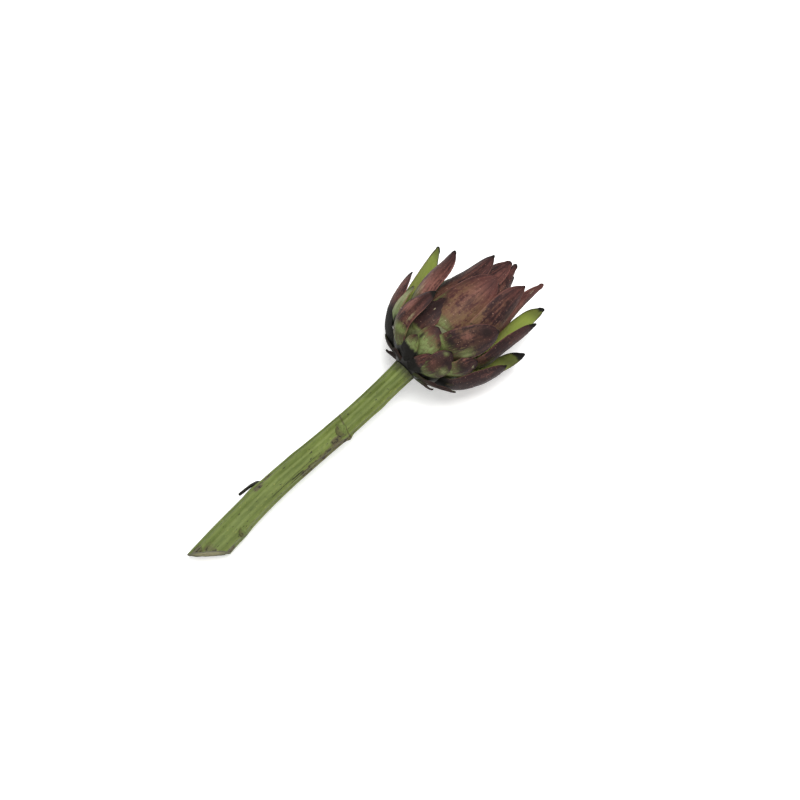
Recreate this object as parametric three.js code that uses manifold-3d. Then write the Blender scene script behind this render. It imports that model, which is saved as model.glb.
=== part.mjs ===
// A purple artichoke on a long stem, as cut in the field and laid on its side.
// Millimetres, +Z up. The stem runs along -X to a slanted knife cut, the head points along +X.
// The head rests on its lower bracts and the stem on the heel of its cut end.

import * as THREE from "three";
import Module from "manifold-3d";

const wasm = await Module();
wasm.setup();

const degrees = Math.PI / 180;

// The neck, where the stem meets the head. Its place puts the middle of the whole length and width at the origin.
const NECK = new THREE.Vector3(42.7, -2.3, 37.1);
const HEAD_RISE = 7.5 * degrees;
const NECK_GAP = 0.3;

// Stem
const STEM_LENGTH = 185;
const STEM_DROOP = 2.9;
const STEM_BOW = 1.6;
const STEM_SWEEP = 2;
const STEM_TOP_RADIUS = 8.1;
const STEM_END_RADIUS = 10.9;
const NECK_FLARE = 0.7;
const STEM_RIBS = 12;
const RIB_HEIGHT = 0.35;
const STEM_RINGS = 30;
const STEM_OVERRUN = 1.1;
const CUT_SLANT = 47 * degrees;

// Head
const GOLDEN_ANGLE = 137.508;
const FIRST_AZIMUTH = 336;
const BRACTS = 46;
const BASAL_BRACTS = 7;
const NECK_LEAFLETS = 5;
const ROOT_THICKNESS = 3.6;
const TIP_THICKNESS = 1.2;
const EDGE_THICKNESS = 0.7;
const TIP_HALF_WIDTH = 1.5;
const TIP_CUP = 14;
const ROOT_DEPTH = 4;
const LEAST_BELLY = 33;
const FLOOR_CLEARANCE = 0.2;
const STEPS_ALONG = 7;
const STEPS_ACROSS = 4;

// The bud that the bracts stand out of: distance from the neck along the head's axis, and radius.
const BUD = [
  [0, 8.3], [2, 12], [7, 20], [15, 26.5], [28, 30], [42, 28.5], [58, 22], [71, 12], [79, 0],
];
const BUD_SIDES = 20;

// Bracts that stray from the rule. Number on the spiral, below zero for the dry leaflets at the neck: where the tip
// stands, as distance along the axis, distance from the axis and azimuth in degrees; the widest width; the outward
// lean of the tip; and how far the blade is rolled about its length.
const STRAYS = {
  "-5": [7, 30, -72, 6, 60, 0],
  "-4": [1, 20, 152, 7, 90, 0],
  "-3": [3, 19, 48, 8, 95, 0],
  "-2": [5, 24, -109, 7, 55, 0],
  "-1": [0, 20, 88, 9, 100, 0],
  0: [17, 31, -26, 12, 15, 0],
  2: [10, 31, 104, 6, 30, 0],
  3: [14, 37, -90, 7, 50, 0],
  5: [19, 33, 4, 13, 10, 0],
  7: [53, 47, 88, 28, -8, 32],
  8: [28, 34.5, -38, 20, 4, 0],
  9: [54, 44.5, 181, 26, 0, 0],
  10: [49.5, 39, 25, 18, -6, 0],
  11: [52.5, 48, -88, 26, 4, -14],
  13: [33, 33, -6, 19, 0, 0],
  14: [58, 52, -152, 26, 6, 0],
  15: [46, 39, 84, 24, -4, 14],
  16: [38, 38, -66, 20, 4, -6],
  17: [60, 52, 154, 26, 6, 0],
  18: [52, 30, 15, 20, -10, 0],
  19: [72, 51, -118, 20, 14, 20],
  20: [83, 55, 108, 22, 16, -8],
  21: [61.5, 43.5, -52, 27, 4, 0],
  22: [74, 38, -170, 24, 0, 0],
  23: [82.5, 36.5, 62, 27, -2, 18],
  24: [87, 43, -78, 18, 10, -8],
  26: [88, 25.5, -8, 33, -14, 0],
  28: [78, 22, 85, 18, -8, 0],
  29: [98.5, 27, -46, 24, -6, 0],
  31: [99, 21, 34, 21, 0, 0],
  32: [104, 36, -124, 22, 8, 22],
  37: [112, 23.5, -88, 13, 8, -22],
  39: [106, 9, 15, 22, -8, 0],
  42: [108.5, 4, -20, 17, -8, 0],
};

// Leaf scars and dried leaf stubs on the stem: distance from the neck, angle round the stem from the top towards +Y,
// width, how far the stub reaches back along the stem, and how far it stands out.
const LEAF_STUBS = [
  [30, 200, 10, 2, 2],
  [63, -20, 10, 3, 1.6],
  [98, 150, 10, 2, 1.8],
  [134, 76, 5, 9, 3.2],
  [160, -60, 10, 2, 1.4],
];

const mix = (from, to, share) => from + (to - from) * share;

// A steady number from -1 to 1 for bract `index` and purpose `salt`.
function chance(index, salt) {
  const wave = Math.sin(index * 12.9898 + salt * 78.233) * 43758.5453;
  return 2 * (wave - Math.floor(wave)) - 1;
}

function solidFrom(positions, triangles) {
  return new wasm.Manifold(
    new wasm.Mesh({
      numProp: 3,
      vertProperties: new Float32Array(positions),
      triVerts: new Uint32Array(triangles),
    }),
  );
}

// A box as a solid, placed by a matrix. It shares its eight corners between its faces.
function boxSolid(width, depth, height, matrix) {
  const corners = [];
  for (const z of [-0.5, 0.5])
    for (const y of [-0.5, 0.5])
      for (const x of [-0.5, 0.5])
        corners.push(...new THREE.Vector3(x * width, y * depth, z * height).applyMatrix4(matrix));
  const faces = [
    [0, 2, 3, 1], [4, 5, 7, 6], [0, 1, 5, 4], [2, 6, 7, 3], [0, 4, 6, 2], [1, 3, 7, 5],
  ];
  return solidFrom(corners, faces.flatMap(([a, b, c, d]) => [a, b, c, a, c, d]));
}

// Everything below the surface that the artichoke lies on.
const BELOW_FLOOR = boxSolid(600, 300, 100, new THREE.Matrix4().makeTranslation(0, 0, -50));

// Height of the head's axis above the floor at a distance along it.
const axisHeight = (axial) => NECK.z + axial * Math.sin(HEAD_RISE);

// A point given along the head's axis, out from it and round it. Azimuth 0 is up and 90 is +Y.
function headPoint(axial, radius, azimuth) {
  const up = radius * Math.cos(azimuth * degrees);
  return new THREE.Vector3(
    axial * Math.cos(HEAD_RISE) - up * Math.sin(HEAD_RISE),
    radius * Math.sin(azimuth * degrees),
    axial * Math.sin(HEAD_RISE) + up * Math.cos(HEAD_RISE),
  ).add(NECK);
}

// The sideways direction at an azimuth of the head, towards a growing azimuth.
function headSide(azimuth) {
  const up = -Math.sin(azimuth * degrees);
  return new THREE.Vector3(-up * Math.sin(HEAD_RISE), Math.cos(azimuth * degrees), up * Math.cos(HEAD_RISE));
}

// The largest radius that keeps a bract's middle line off the floor.
function floorRadius(axial, azimuth) {
  const down = -Math.cos(azimuth * degrees) * Math.cos(HEAD_RISE);
  return down > 0.1 ? (axisHeight(axial) - FLOOR_CLEARANCE) / down : Infinity;
}

function budRadius(axial) {
  const next = BUD.findIndex(([x]) => x >= axial);
  if (next <= 0) return next === 0 ? BUD[0][1] : 0;
  const [[x0, r0], [x1, r1]] = [BUD[next - 1], BUD[next]];
  return mix(r0, r1, (axial - x0) / (x1 - x0));
}

// Where a bract of the spiral leaves the bud, how it bellies out, and where its tip stands.
function bractPlan(index) {
  const inward = Math.max(0, (index - BASAL_BRACTS + 1) / (BRACTS - BASAL_BRACTS));
  const azimuth = FIRST_AZIMUTH - index * GOLDEN_ANGLE;
  const basal = index < BASAL_BRACTS;
  const ruled = basal
    ? [12 + 1.5 * chance(index, 3), 28 + 2 * chance(index, 1), azimuth, 10 + 2 * chance(index, 2), 35, 0]
    : [
        44 + 56 * inward ** 0.8 + 2.5 * chance(index, 1),
        42 - 38 * inward ** 1.3 + 1.5 * chance(index, 2),
        azimuth + 5 * chance(index, 3),
        mix(24, 17, inward),
        mix(4, -10, inward),
        4 * chance(index, 4),
      ];
  const [tipAxial, tipRadius, tipAzimuthRaw, width, lean, roll] = STRAYS[index] ?? ruled;
  // The strays' azimuths are brought to the same turn as the spiral's.
  const tipAzimuth = tipAzimuthRaw + 360 * Math.round((azimuth - tipAzimuthRaw) / 360);
  const rootAxial = basal ? Math.max(1, 1.5 + 0.3 * index) : 4 + 58 * inward ** 1.15;
  const rootRadius = budRadius(rootAxial) - ROOT_DEPTH;
  const root = [rootAxial, rootRadius];
  const belly = basal
    ? [rootAxial + 1, mix(rootRadius, tipRadius, 0.5)]
    : [
        rootAxial + mix(1, 14, inward),
        Math.min(rootRadius + mix(25, 9, inward ** 0.7), Math.max(tipRadius, LEAST_BELLY)),
      ];
  const reach = 0.42 * Math.hypot(tipAxial - belly[0], tipRadius - belly[1]);
  const shoulder = [
    tipAxial - reach * Math.cos(lean * degrees),
    tipRadius - reach * Math.sin(lean * degrees),
  ];
  return { azimuth, tipAzimuth, width, roll, root, belly, shoulder, tip: [tipAxial, tipRadius] };
}

// Half the width of a blade along its length, as a share of the widest.
function outline(along) {
  const swell = 0.8 + 0.2 * Math.sin((Math.min(along / 0.4, 1) * Math.PI) / 2);
  const taper = Math.max(0, 1 - (Math.max(0, along - 0.4) / 0.6) ** 2.8) ** 0.75;
  return swell * taper;
}

// A closed blade along a curve. `sideAt` gives the sideways direction along it, `cupAt` the radius that its
// section is bent to. Both faces are split into triangles alike.
function bladeSolid({ curve, sideAt, cupAt, width, rootThickness, stepsAlong, stepsAcross }) {
  const positions = [];
  for (const face of [1, -1])
    for (let i = 0; i <= stepsAlong; i++) {
      const along = i / stepsAlong;
      const middle = curve.getPoint(along);
      const tangent = curve.getTangent(along);
      const side = sideAt(along).addScaledVector(tangent, -sideAt(along).dot(tangent)).normalize();
      const outward = new THREE.Vector3().crossVectors(tangent, side);
      const halfWidth = Math.max(TIP_HALF_WIDTH, (width / 2) * outline(along));
      const thickness = mix(rootThickness, TIP_THICKNESS, along);
      for (let j = 0; j <= stepsAcross; j++) {
        const across = (2 * j) / stepsAcross - 1;
        const turn = (across * halfWidth) / cupAt(along);
        const half = (face * mix(thickness, EDGE_THICKNESS, across ** 2)) / 2;
        const spread = (cupAt(along) + half) * Math.sin(turn);
        const drop = cupAt(along) - (cupAt(along) + half) * Math.cos(turn);
        positions.push(...middle.clone().addScaledVector(side, spread).addScaledVector(outward, -drop));
      }
    }
  const row = stepsAcross + 1;
  const inner = (stepsAlong + 1) * row;
  const triangles = [];
  const quad = (a, b, c, d) => triangles.push(a, b, c, a, c, d);
  for (let i = 0; i < stepsAlong; i++) {
    for (let j = 0; j < stepsAcross; j++) {
      const at = i * row + j;
      quad(at, at + row, at + row + 1, at + 1);
      triangles.push(inner + at, inner + at + row + 1, inner + at + row);
      triangles.push(inner + at, inner + at + 1, inner + at + row + 1);
    }
    const low = i * row;
    const high = low + stepsAcross;
    quad(low, inner + low, inner + low + row, low + row);
    quad(high, high + row, inner + high + row, inner + high);
  }
  for (let j = 0; j < stepsAcross; j++) {
    const last = stepsAlong * row + j;
    quad(j, j + 1, inner + j + 1, inner + j);
    quad(last, inner + last, inner + last + 1, last + 1);
  }
  return solidFrom(positions, triangles);
}

function bractSolid(index) {
  const plan = bractPlan(index);
  const turn = (share) => mix(plan.azimuth, plan.tipAzimuth, share);
  const stations = [[plan.root, 0], [plan.belly, 0.1], [plan.shoulder, 0.7], [plan.tip, 1]];
  const points = stations.map(([[axial, radius], share]) =>
    headPoint(axial, Math.min(radius, floorRadius(axial, turn(share))), turn(share)),
  );
  const basal = index < BASAL_BRACTS;
  const curve = new THREE.CubicBezierCurve3(...points);
  const rootCup = plan.root[1] + ROOT_DEPTH;
  const bellyCup = Math.max(rootCup, 0.8 * plan.belly[1]);
  return bladeSolid({
    curve,
    sideAt: (along) => headSide(turn(along)).applyAxisAngle(curve.getTangent(along), plan.roll * along * degrees),
    cupAt: (along) => (along < 0.3 ? mix(rootCup, bellyCup, along / 0.3) : mix(bellyCup, TIP_CUP, (along - 0.3) / 0.7)),
    width: plan.width,
    rootThickness: basal ? 1.4 : ROOT_THICKNESS,
    stepsAlong: basal ? 4 : STEPS_ALONG,
    stepsAcross: basal ? 2 : STEPS_ACROSS,
  });
}

// A closed solid through rings of points, which run clockwise as seen from the last one.
function loftSolid(rings, start, end) {
  const sides = rings[0].length;
  const positions = [...rings.flat(), start, end].flatMap((point) => [...point]);
  const first = rings.length * sides;
  const last = (rings.length - 1) * sides;
  const triangles = [];
  for (let j = 0; j < sides; j++) {
    const next = (j + 1) % sides;
    triangles.push(first, j, next, first + 1, last + next, last + j);
    for (let i = 0; i < rings.length - 1; i++) {
      const [a, b] = [i * sides + j, i * sides + next];
      triangles.push(a, b + sides, b, a, a + sides, b + sides);
    }
  }
  return solidFrom(positions, triangles);
}

// The bud: a lathe solid about the head's axis.
function budSolid() {
  const angles = Array.from({ length: BUD_SIDES }, (_, j) => (360 * j) / BUD_SIDES);
  const rings = BUD.slice(0, -1).map(([axial, radius]) => angles.map((angle) => headPoint(axial, radius, angle)));
  return loftSolid(rings, headPoint(0, 0, 0), headPoint(BUD.at(-1)[0], 0, 0));
}

// The stem's middle line from the neck, at 0, to the middle of the cut, at 1.
function stemPoint(share) {
  return new THREE.Vector3(
    -STEM_LENGTH * share,
    STEM_SWEEP * Math.sin(Math.PI * share) - STEM_BOW * Math.sin(2 * Math.PI * share),
    -STEM_LENGTH * share * Math.tan(HEAD_RISE) - STEM_DROOP * share ** 2,
  ).add(NECK);
}

function stemRadius(share) {
  return mix(STEM_TOP_RADIUS, STEM_END_RADIUS, share ** 2) + NECK_FLARE * Math.exp(-share / 0.03);
}

// One ring of the stem: ribs and grooves in turn.
function stemRing(share, tangent) {
  const side = new THREE.Vector3(0, 1, 0).addScaledVector(tangent, -tangent.y).normalize();
  const up = new THREE.Vector3().crossVectors(side, tangent);
  return Array.from({ length: 2 * STEM_RIBS }, (_, j) => {
    const angle = (Math.PI * j) / STEM_RIBS;
    const radius = stemRadius(share) + RIB_HEIGHT * (j % 2 ? -1 : 1);
    return stemPoint(share)
      .addScaledVector(side, radius * Math.cos(angle))
      .addScaledVector(up, radius * Math.sin(angle));
  });
}

// A leaf scar or dried stub: a short blade that starts inside the stem and points back along it.
function stubSolid([distance, angle, width, reach, stand]) {
  const share = distance / STEM_LENGTH;
  const tangent = stemPoint(share + 0.01).sub(stemPoint(share - 0.01)).normalize();
  const side = new THREE.Vector3(0, 1, 0).addScaledVector(tangent, -tangent.y).normalize();
  const up = new THREE.Vector3().crossVectors(side, tangent);
  const out = up.clone().multiplyScalar(Math.cos(angle * degrees)).addScaledVector(side, Math.sin(angle * degrees));
  const radius = stemRadius(share);
  const at = (back, height) => stemPoint(share).addScaledVector(tangent, back).addScaledVector(out, radius + height);
  return bladeSolid({
    curve: new THREE.CubicBezierCurve3(at(-9, -2.6), at(-4, 0.4), at(-1, stand), at(reach, stand)),
    sideAt: () => new THREE.Vector3().crossVectors(out, tangent),
    cupAt: () => radius,
    width,
    rootThickness: 1.6,
    stepsAlong: 4,
    stepsAcross: 4,
  });
}

// The ribbed stem, swept past the cut, then cut on the slant and trimmed where it lies.
function stemSolid() {
  const start = (NECK_GAP * Math.cos(HEAD_RISE)) / STEM_LENGTH;
  const rings = Array.from({ length: STEM_RINGS + 1 }, (_, i) => {
    const share = mix(start, STEM_OVERRUN, i / STEM_RINGS);
    const ahead = i === 0 ? NECK.clone().sub(headPoint(1, 0, 0)) : stemPoint(share + 0.01).sub(stemPoint(share - 0.01));
    return stemRing(share, ahead.normalize());
  });
  const knife = new THREE.Matrix4()
    .makeTranslation(...stemPoint(1))
    .multiply(new THREE.Matrix4().makeRotationZ(CUT_SLANT))
    .multiply(new THREE.Matrix4().makeTranslation(-50, 0, 0));
  return wasm.Manifold.union([loftSolid(rings, stemPoint(start), stemPoint(STEM_OVERRUN)), ...LEAF_STUBS.map(stubSolid)])
    .subtract(boxSolid(100, 120, 120, knife))
    .subtract(BELOW_FLOOR);
}

// The head: every bract fused to the bud, trimmed where it lies.
function headSolid() {
  const bracts = Array.from({ length: NECK_LEAFLETS + BRACTS }, (_, order) => bractSolid(order - NECK_LEAFLETS));
  return wasm.Manifold.union([budSolid(), ...bracts]).subtract(BELOW_FLOOR);
}

// The main body of a fused solid, without loose scraps and with sealed hollows filled.
function mainBody(solid) {
  return solid.decompose().sort((one, other) => other.volume() - one.volume())[0];
}

function meshOf(solid, name, material) {
  const made = mainBody(solid.simplify(0.02)).getMesh();
  const geometry = new THREE.BufferGeometry()
    .setAttribute("position", new THREE.BufferAttribute(made.vertProperties, 3))
    .setIndex(new THREE.BufferAttribute(made.triVerts, 1));
  geometry.computeVertexNormals();
  const mesh = new THREE.Mesh(geometry, material);
  mesh.name = name;
  return mesh;
}

const purple = new THREE.MeshStandardMaterial({ color: 0x5c3c3a, roughness: 0.6, metalness: 0 });
const green = new THREE.MeshStandardMaterial({ color: 0x768348, roughness: 0.65, metalness: 0 });

const artichoke = new THREE.Group();
artichoke.add(meshOf(headSolid(), "head", purple), meshOf(stemSolid(), "stem", green));

export default artichoke;
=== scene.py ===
# %% [markdown]
# # A purple artichoke on a long stem
#
# The artichoke lies on its side on a pale surface, seen from above. The head is a tight bud wrapped in
# fleshy, pointed leaves called bracts. They are purple brown outside, green inside and at the base, with dry
# dark tips. The ribbed stem runs to a slanted knife cut. This notebook loads the solid model first, and then
# makes a finer surface for each part of it in the same place.

# %% Load the solid model
import math

import bpy
from mathutils import Matrix, Vector


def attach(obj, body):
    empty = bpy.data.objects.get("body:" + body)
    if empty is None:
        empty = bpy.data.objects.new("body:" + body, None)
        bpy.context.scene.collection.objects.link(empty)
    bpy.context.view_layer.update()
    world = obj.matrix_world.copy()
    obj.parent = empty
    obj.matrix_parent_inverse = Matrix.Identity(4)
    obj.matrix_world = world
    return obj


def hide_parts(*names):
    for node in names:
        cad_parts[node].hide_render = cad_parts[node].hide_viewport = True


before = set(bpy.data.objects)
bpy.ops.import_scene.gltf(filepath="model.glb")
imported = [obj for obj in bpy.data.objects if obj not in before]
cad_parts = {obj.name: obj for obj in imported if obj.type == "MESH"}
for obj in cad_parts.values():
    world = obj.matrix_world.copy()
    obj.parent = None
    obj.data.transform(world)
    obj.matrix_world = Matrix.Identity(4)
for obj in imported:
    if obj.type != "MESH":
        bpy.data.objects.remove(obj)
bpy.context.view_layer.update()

# %% [markdown]
# Sizes are written in millimetres, as on a drawing, and brought to Blender's metres where a point is made.
# The neck is where the stem meets the head. From there the head's axis rises a little, because the head is
# much thicker than the stem and both lie on the same surface. Two helpers turn "so far along the axis, so
# far out, and so far round" into a point and a sideways direction. Azimuth 0 is up and 90 is towards +Y.

# %% The head's own axes
MM = 0.001
NECK = Vector((42.7, -2.3, 37.1))
HEAD_RISE = math.radians(7.5)


def head_point(axial, radius, azimuth):
    """The point, in millimetres, at a distance along the head's axis, out from it and round it."""
    up = radius * math.cos(math.radians(azimuth))
    return NECK + Vector(
        (
            axial * math.cos(HEAD_RISE) - up * math.sin(HEAD_RISE),
            radius * math.sin(math.radians(azimuth)),
            axial * math.sin(HEAD_RISE) + up * math.cos(HEAD_RISE),
        )
    )


def head_side(azimuth):
    """The sideways direction at an azimuth, towards a growing azimuth."""
    up = -math.sin(math.radians(azimuth))
    return Vector((-up * math.sin(HEAD_RISE), math.cos(math.radians(azimuth)), up * math.cos(HEAD_RISE)))


def mix(start, end, share):
    return start + (end - start) * share


print("the neck stands", NECK.z, "mm above the surface")

# %% [markdown]
# The camera looks down on the artichoke from a steep angle, with the whole length running from the lower
# left of the picture to the upper right. The neck is a good point to aim by: it has a known place in the
# picture, so the camera is set back from it along the line of sight and then shifted sideways until the
# neck falls there.

# %% Camera
PICTURE = 800
LENS, SENSOR = 85, 36
MM_PER_PIXEL = 0.70
NECK_ACROSS, NECK_DOWN = 405, 369
AIM_HEIGHT = 38
CAMERA_ELEVATION = math.radians(70)
STEM_ANGLE = math.radians(43)

floor_ahead = Vector((math.sin(STEM_ANGLE), math.cos(STEM_ANGLE), 0))
to_camera = Vector((0, 0, math.sin(CAMERA_ELEVATION))) - floor_ahead * math.cos(CAMERA_ELEVATION)
picture_right = Vector((math.cos(STEM_ANGLE), -math.sin(STEM_ANGLE), 0))
picture_up = to_camera.cross(picture_right)
distance = MM_PER_PIXEL * PICTURE * LENS / SENSOR
place = (
    Vector((NECK.x, NECK.y, AIM_HEIGHT))
    + to_camera * distance
    - picture_right * (NECK_ACROSS - PICTURE / 2) * MM_PER_PIXEL
    + picture_up * (NECK_DOWN - PICTURE / 2) * MM_PER_PIXEL
)
camera_data = bpy.data.cameras.new("camera")
camera_data.lens, camera_data.sensor_width = LENS, SENSOR
camera = bpy.data.objects.new("camera", camera_data)
bpy.context.collection.objects.link(camera)
turn = Matrix((picture_right, picture_up, to_camera)).transposed().to_4x4()
camera.matrix_world = Matrix.Translation(place * MM) @ turn
bpy.context.scene.camera = camera
print("camera", round(distance), "mm from the neck")

# %% [markdown]
# The shapes and colours below are formulas, and a formula drawn as boxes and wires is hard to read. This
# small class wraps one output of a node, so that `width * taper + 2` adds the nodes for it. It works the
# same way in a geometry tree and in a material.

# %% Formulas that write nodes


def wire(tree, value, socket):
    """Links a formula to a socket, or sets the socket to a plain value."""
    if isinstance(value, Field):
        tree.links.new(value.socket, socket)
    else:
        socket.default_value = value


class Field:
    """A number or vector that varies over a shape: one output socket of a node."""

    def __init__(self, socket):
        self.socket = socket
        self.tree = socket.id_data

    def number(self, operation, *others):
        node = self.tree.nodes.new("ShaderNodeMath")
        node.operation = operation
        for value, socket in zip([self, *others], node.inputs):
            wire(self.tree, value, socket)
        return Field(node.outputs[0])

    def vector(self, operation, *others, output=0):
        node = self.tree.nodes.new("ShaderNodeVectorMath")
        node.operation = operation
        for value, socket in zip([self, *others], node.inputs):
            wire(self.tree, value, socket)
        return Field(node.outputs[output])

    def either(self, operation, other):
        make = self.vector if self.socket.type == "VECTOR" else self.number
        return make(operation, other)

    def __add__(self, other):
        return self.either("ADD", other)

    def __sub__(self, other):
        return self.either("SUBTRACT", other)

    def __mul__(self, other):
        if self.socket.type != "VECTOR":
            return self.number("MULTIPLY", other)
        node = self.tree.nodes.new("ShaderNodeVectorMath")
        node.operation = "SCALE"
        wire(self.tree, self, node.inputs[0])
        wire(self.tree, other, node.inputs["Scale"])
        return Field(node.outputs[0])

    def __truediv__(self, other):
        return self.number("DIVIDE", other)

    def __pow__(self, other):
        return self.number("POWER", other)

    def __neg__(self):
        return self * -1.0

    def __rsub__(self, other):
        return -self + other

    __radd__ = __add__
    __rmul__ = __mul__

    def sin(self):
        return self.number("SINE")

    def cos(self):
        return self.number("COSINE")

    def exp(self):
        return self.number("EXPONENT")

    def abs(self):
        return self.number("ABSOLUTE")

    def least(self, other):
        return self.number("MINIMUM", other)

    def most(self, other):
        return self.number("MAXIMUM", other)

    def cross(self, other):
        return self.vector("CROSS_PRODUCT", other)

    def dot(self, other):
        return self.vector("DOT_PRODUCT", other, output=1)

    def unit(self):
        return self.vector("NORMALIZE")

    def ease(self, low, high):
        """0 below low and 1 above high, with a smooth step between."""
        node = self.tree.nodes.new("ShaderNodeMapRange")
        node.interpolation_type = "SMOOTHSTEP"
        wire(self.tree, self, node.inputs["Value"])
        wire(self.tree, low, node.inputs["From Min"])
        wire(self.tree, high, node.inputs["From Max"])
        return Field(node.outputs["Result"])

    def parts(self):
        node = self.tree.nodes.new("ShaderNodeSeparateXYZ")
        wire(self.tree, self, node.inputs[0])
        return [Field(socket) for socket in node.outputs]


def joined(tree, x, y, z):
    """A vector from three numbers."""
    node = tree.nodes.new("ShaderNodeCombineXYZ")
    for value, socket in zip((x, y, z), node.inputs):
        wire(tree, value, socket)
    return Field(node.outputs[0])


def noise(vector, scale, detail=3.0, roughness=0.55, output=0):
    """Soft random clouds between 0 and 1; `scale` is how many to the metre."""
    node = vector.tree.nodes.new("ShaderNodeTexNoise")
    wire(vector.tree, vector, node.inputs["Vector"])
    node.inputs["Scale"].default_value = scale
    node.inputs["Detail"].default_value = detail
    node.inputs["Roughness"].default_value = roughness
    return Field(node.outputs[output])


print("formulas ready")

# %% [markdown]
# The bracts grow in a spiral. Each new one stands a golden angle, about 137.5 degrees, further round than
# the last and a little further up, so none sits straight over another. Most follow the rule. Bracts that
# age, dry or are pushed about stray from it, and the table says where those bracts have their tips. Every
# bract gets a root on the bud, a belly that bulges out, a shoulder and a tip, which together steer its
# middle line.

# %% The spiral of bracts
GOLDEN_ANGLE = 137.508
FIRST_AZIMUTH = 336
BRACTS = 46
BASAL_BRACTS = 7
NECK_LEAFLETS = 5
ROOT_DEPTH = 4
LEAST_BELLY = 33
FLOOR_CLEARANCE = 0.2
TIP_CUP = 14
# How far before the tip the shoulder lies, as a share of the way from the belly.
SHOULDER_REACH = 0.42
# How far each of the four points has turned from the root's azimuth to the tip's.
TURNED_BY = (0, 0.1, 0.7, 1)
BUD = [(0, 8.3), (2, 12), (7, 20), (15, 26.5), (28, 30), (42, 28.5), (58, 22), (71, 12), (79, 0)]

# Number on the spiral, below zero for the dry leaflets at the neck, then the tip's distance along the axis
# and out from it, its azimuth, the widest width, the tip's outward lean and the blade's roll.
STRAYS = {
    -5: (7, 30, -72, 6, 60, 0),
    -4: (1, 20, 152, 7, 90, 0),
    -3: (3, 19, 48, 8, 95, 0),
    -2: (5, 24, -109, 7, 55, 0),
    -1: (0, 20, 88, 9, 100, 0),
    0: (17, 31, -26, 12, 15, 0),
    2: (10, 31, 104, 6, 30, 0),
    3: (14, 37, -90, 7, 50, 0),
    5: (19, 33, 4, 13, 10, 0),
    7: (53, 47, 88, 28, -8, 32),
    8: (28, 34.5, -38, 20, 4, 0),
    9: (54, 44.5, 181, 26, 0, 0),
    10: (49.5, 39, 25, 18, -6, 0),
    11: (52.5, 48, -88, 26, 4, -14),
    13: (33, 33, -6, 19, 0, 0),
    14: (58, 52, -152, 26, 6, 0),
    15: (46, 39, 84, 24, -4, 14),
    16: (38, 38, -66, 20, 4, -6),
    17: (60, 52, 154, 26, 6, 0),
    18: (52, 30, 15, 20, -10, 0),
    19: (72, 51, -118, 23, 14, 30),
    20: (83, 55, 108, 22, 16, -8),
    21: (61.5, 43.5, -52, 27, 4, 0),
    22: (74, 38, -170, 24, 0, 0),
    23: (82.5, 36.5, 62, 27, -2, 18),
    24: (87, 43, -78, 18, 10, -8),
    26: (88, 25.5, -8, 33, -14, 0),
    28: (78, 22, 85, 18, -8, 0),
    29: (98.5, 27, -46, 24, -6, 0),
    31: (99, 21, 34, 26, 0, 0),
    32: (104, 36, -120, 22, 8, 36),
    37: (112, 23.5, -88, 15, 8, -22),
    39: (106, 9, 15, 22, -8, 0),
    42: (108.5, 4, -20, 11, -8, 0),
    46: (97, 9, 131, 22, -16, 0),
    49: (94, 12, 88, 18, -14, 0),
    51: (92, 14, 168, 18, -14, 0),
}
# Three more small bracts close the middle of the head. They are seen only from the tips.
HEART_BRACTS = [46, 49, 51]


def chance(index, salt):
    """A steady number from -1 to 1 for one bract and one purpose."""
    wave = math.sin(index * 12.9898 + salt * 78.233) * 43758.5453
    return 2 * (wave - math.floor(wave)) - 1


def bud_radius(axial):
    for (x0, r0), (x1, r1) in zip(BUD, BUD[1:]):
        if axial <= x1:
            return mix(r0, r1, (axial - x0) / (x1 - x0))
    return 0


def floor_radius(axial, azimuth):
    """The largest radius that keeps a bract's middle line off the surface it lies on."""
    down = -math.cos(math.radians(azimuth)) * math.cos(HEAD_RISE)
    return (NECK.z + axial * math.sin(HEAD_RISE) - FLOOR_CLEARANCE) / down if down > 0.1 else math.inf


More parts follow.
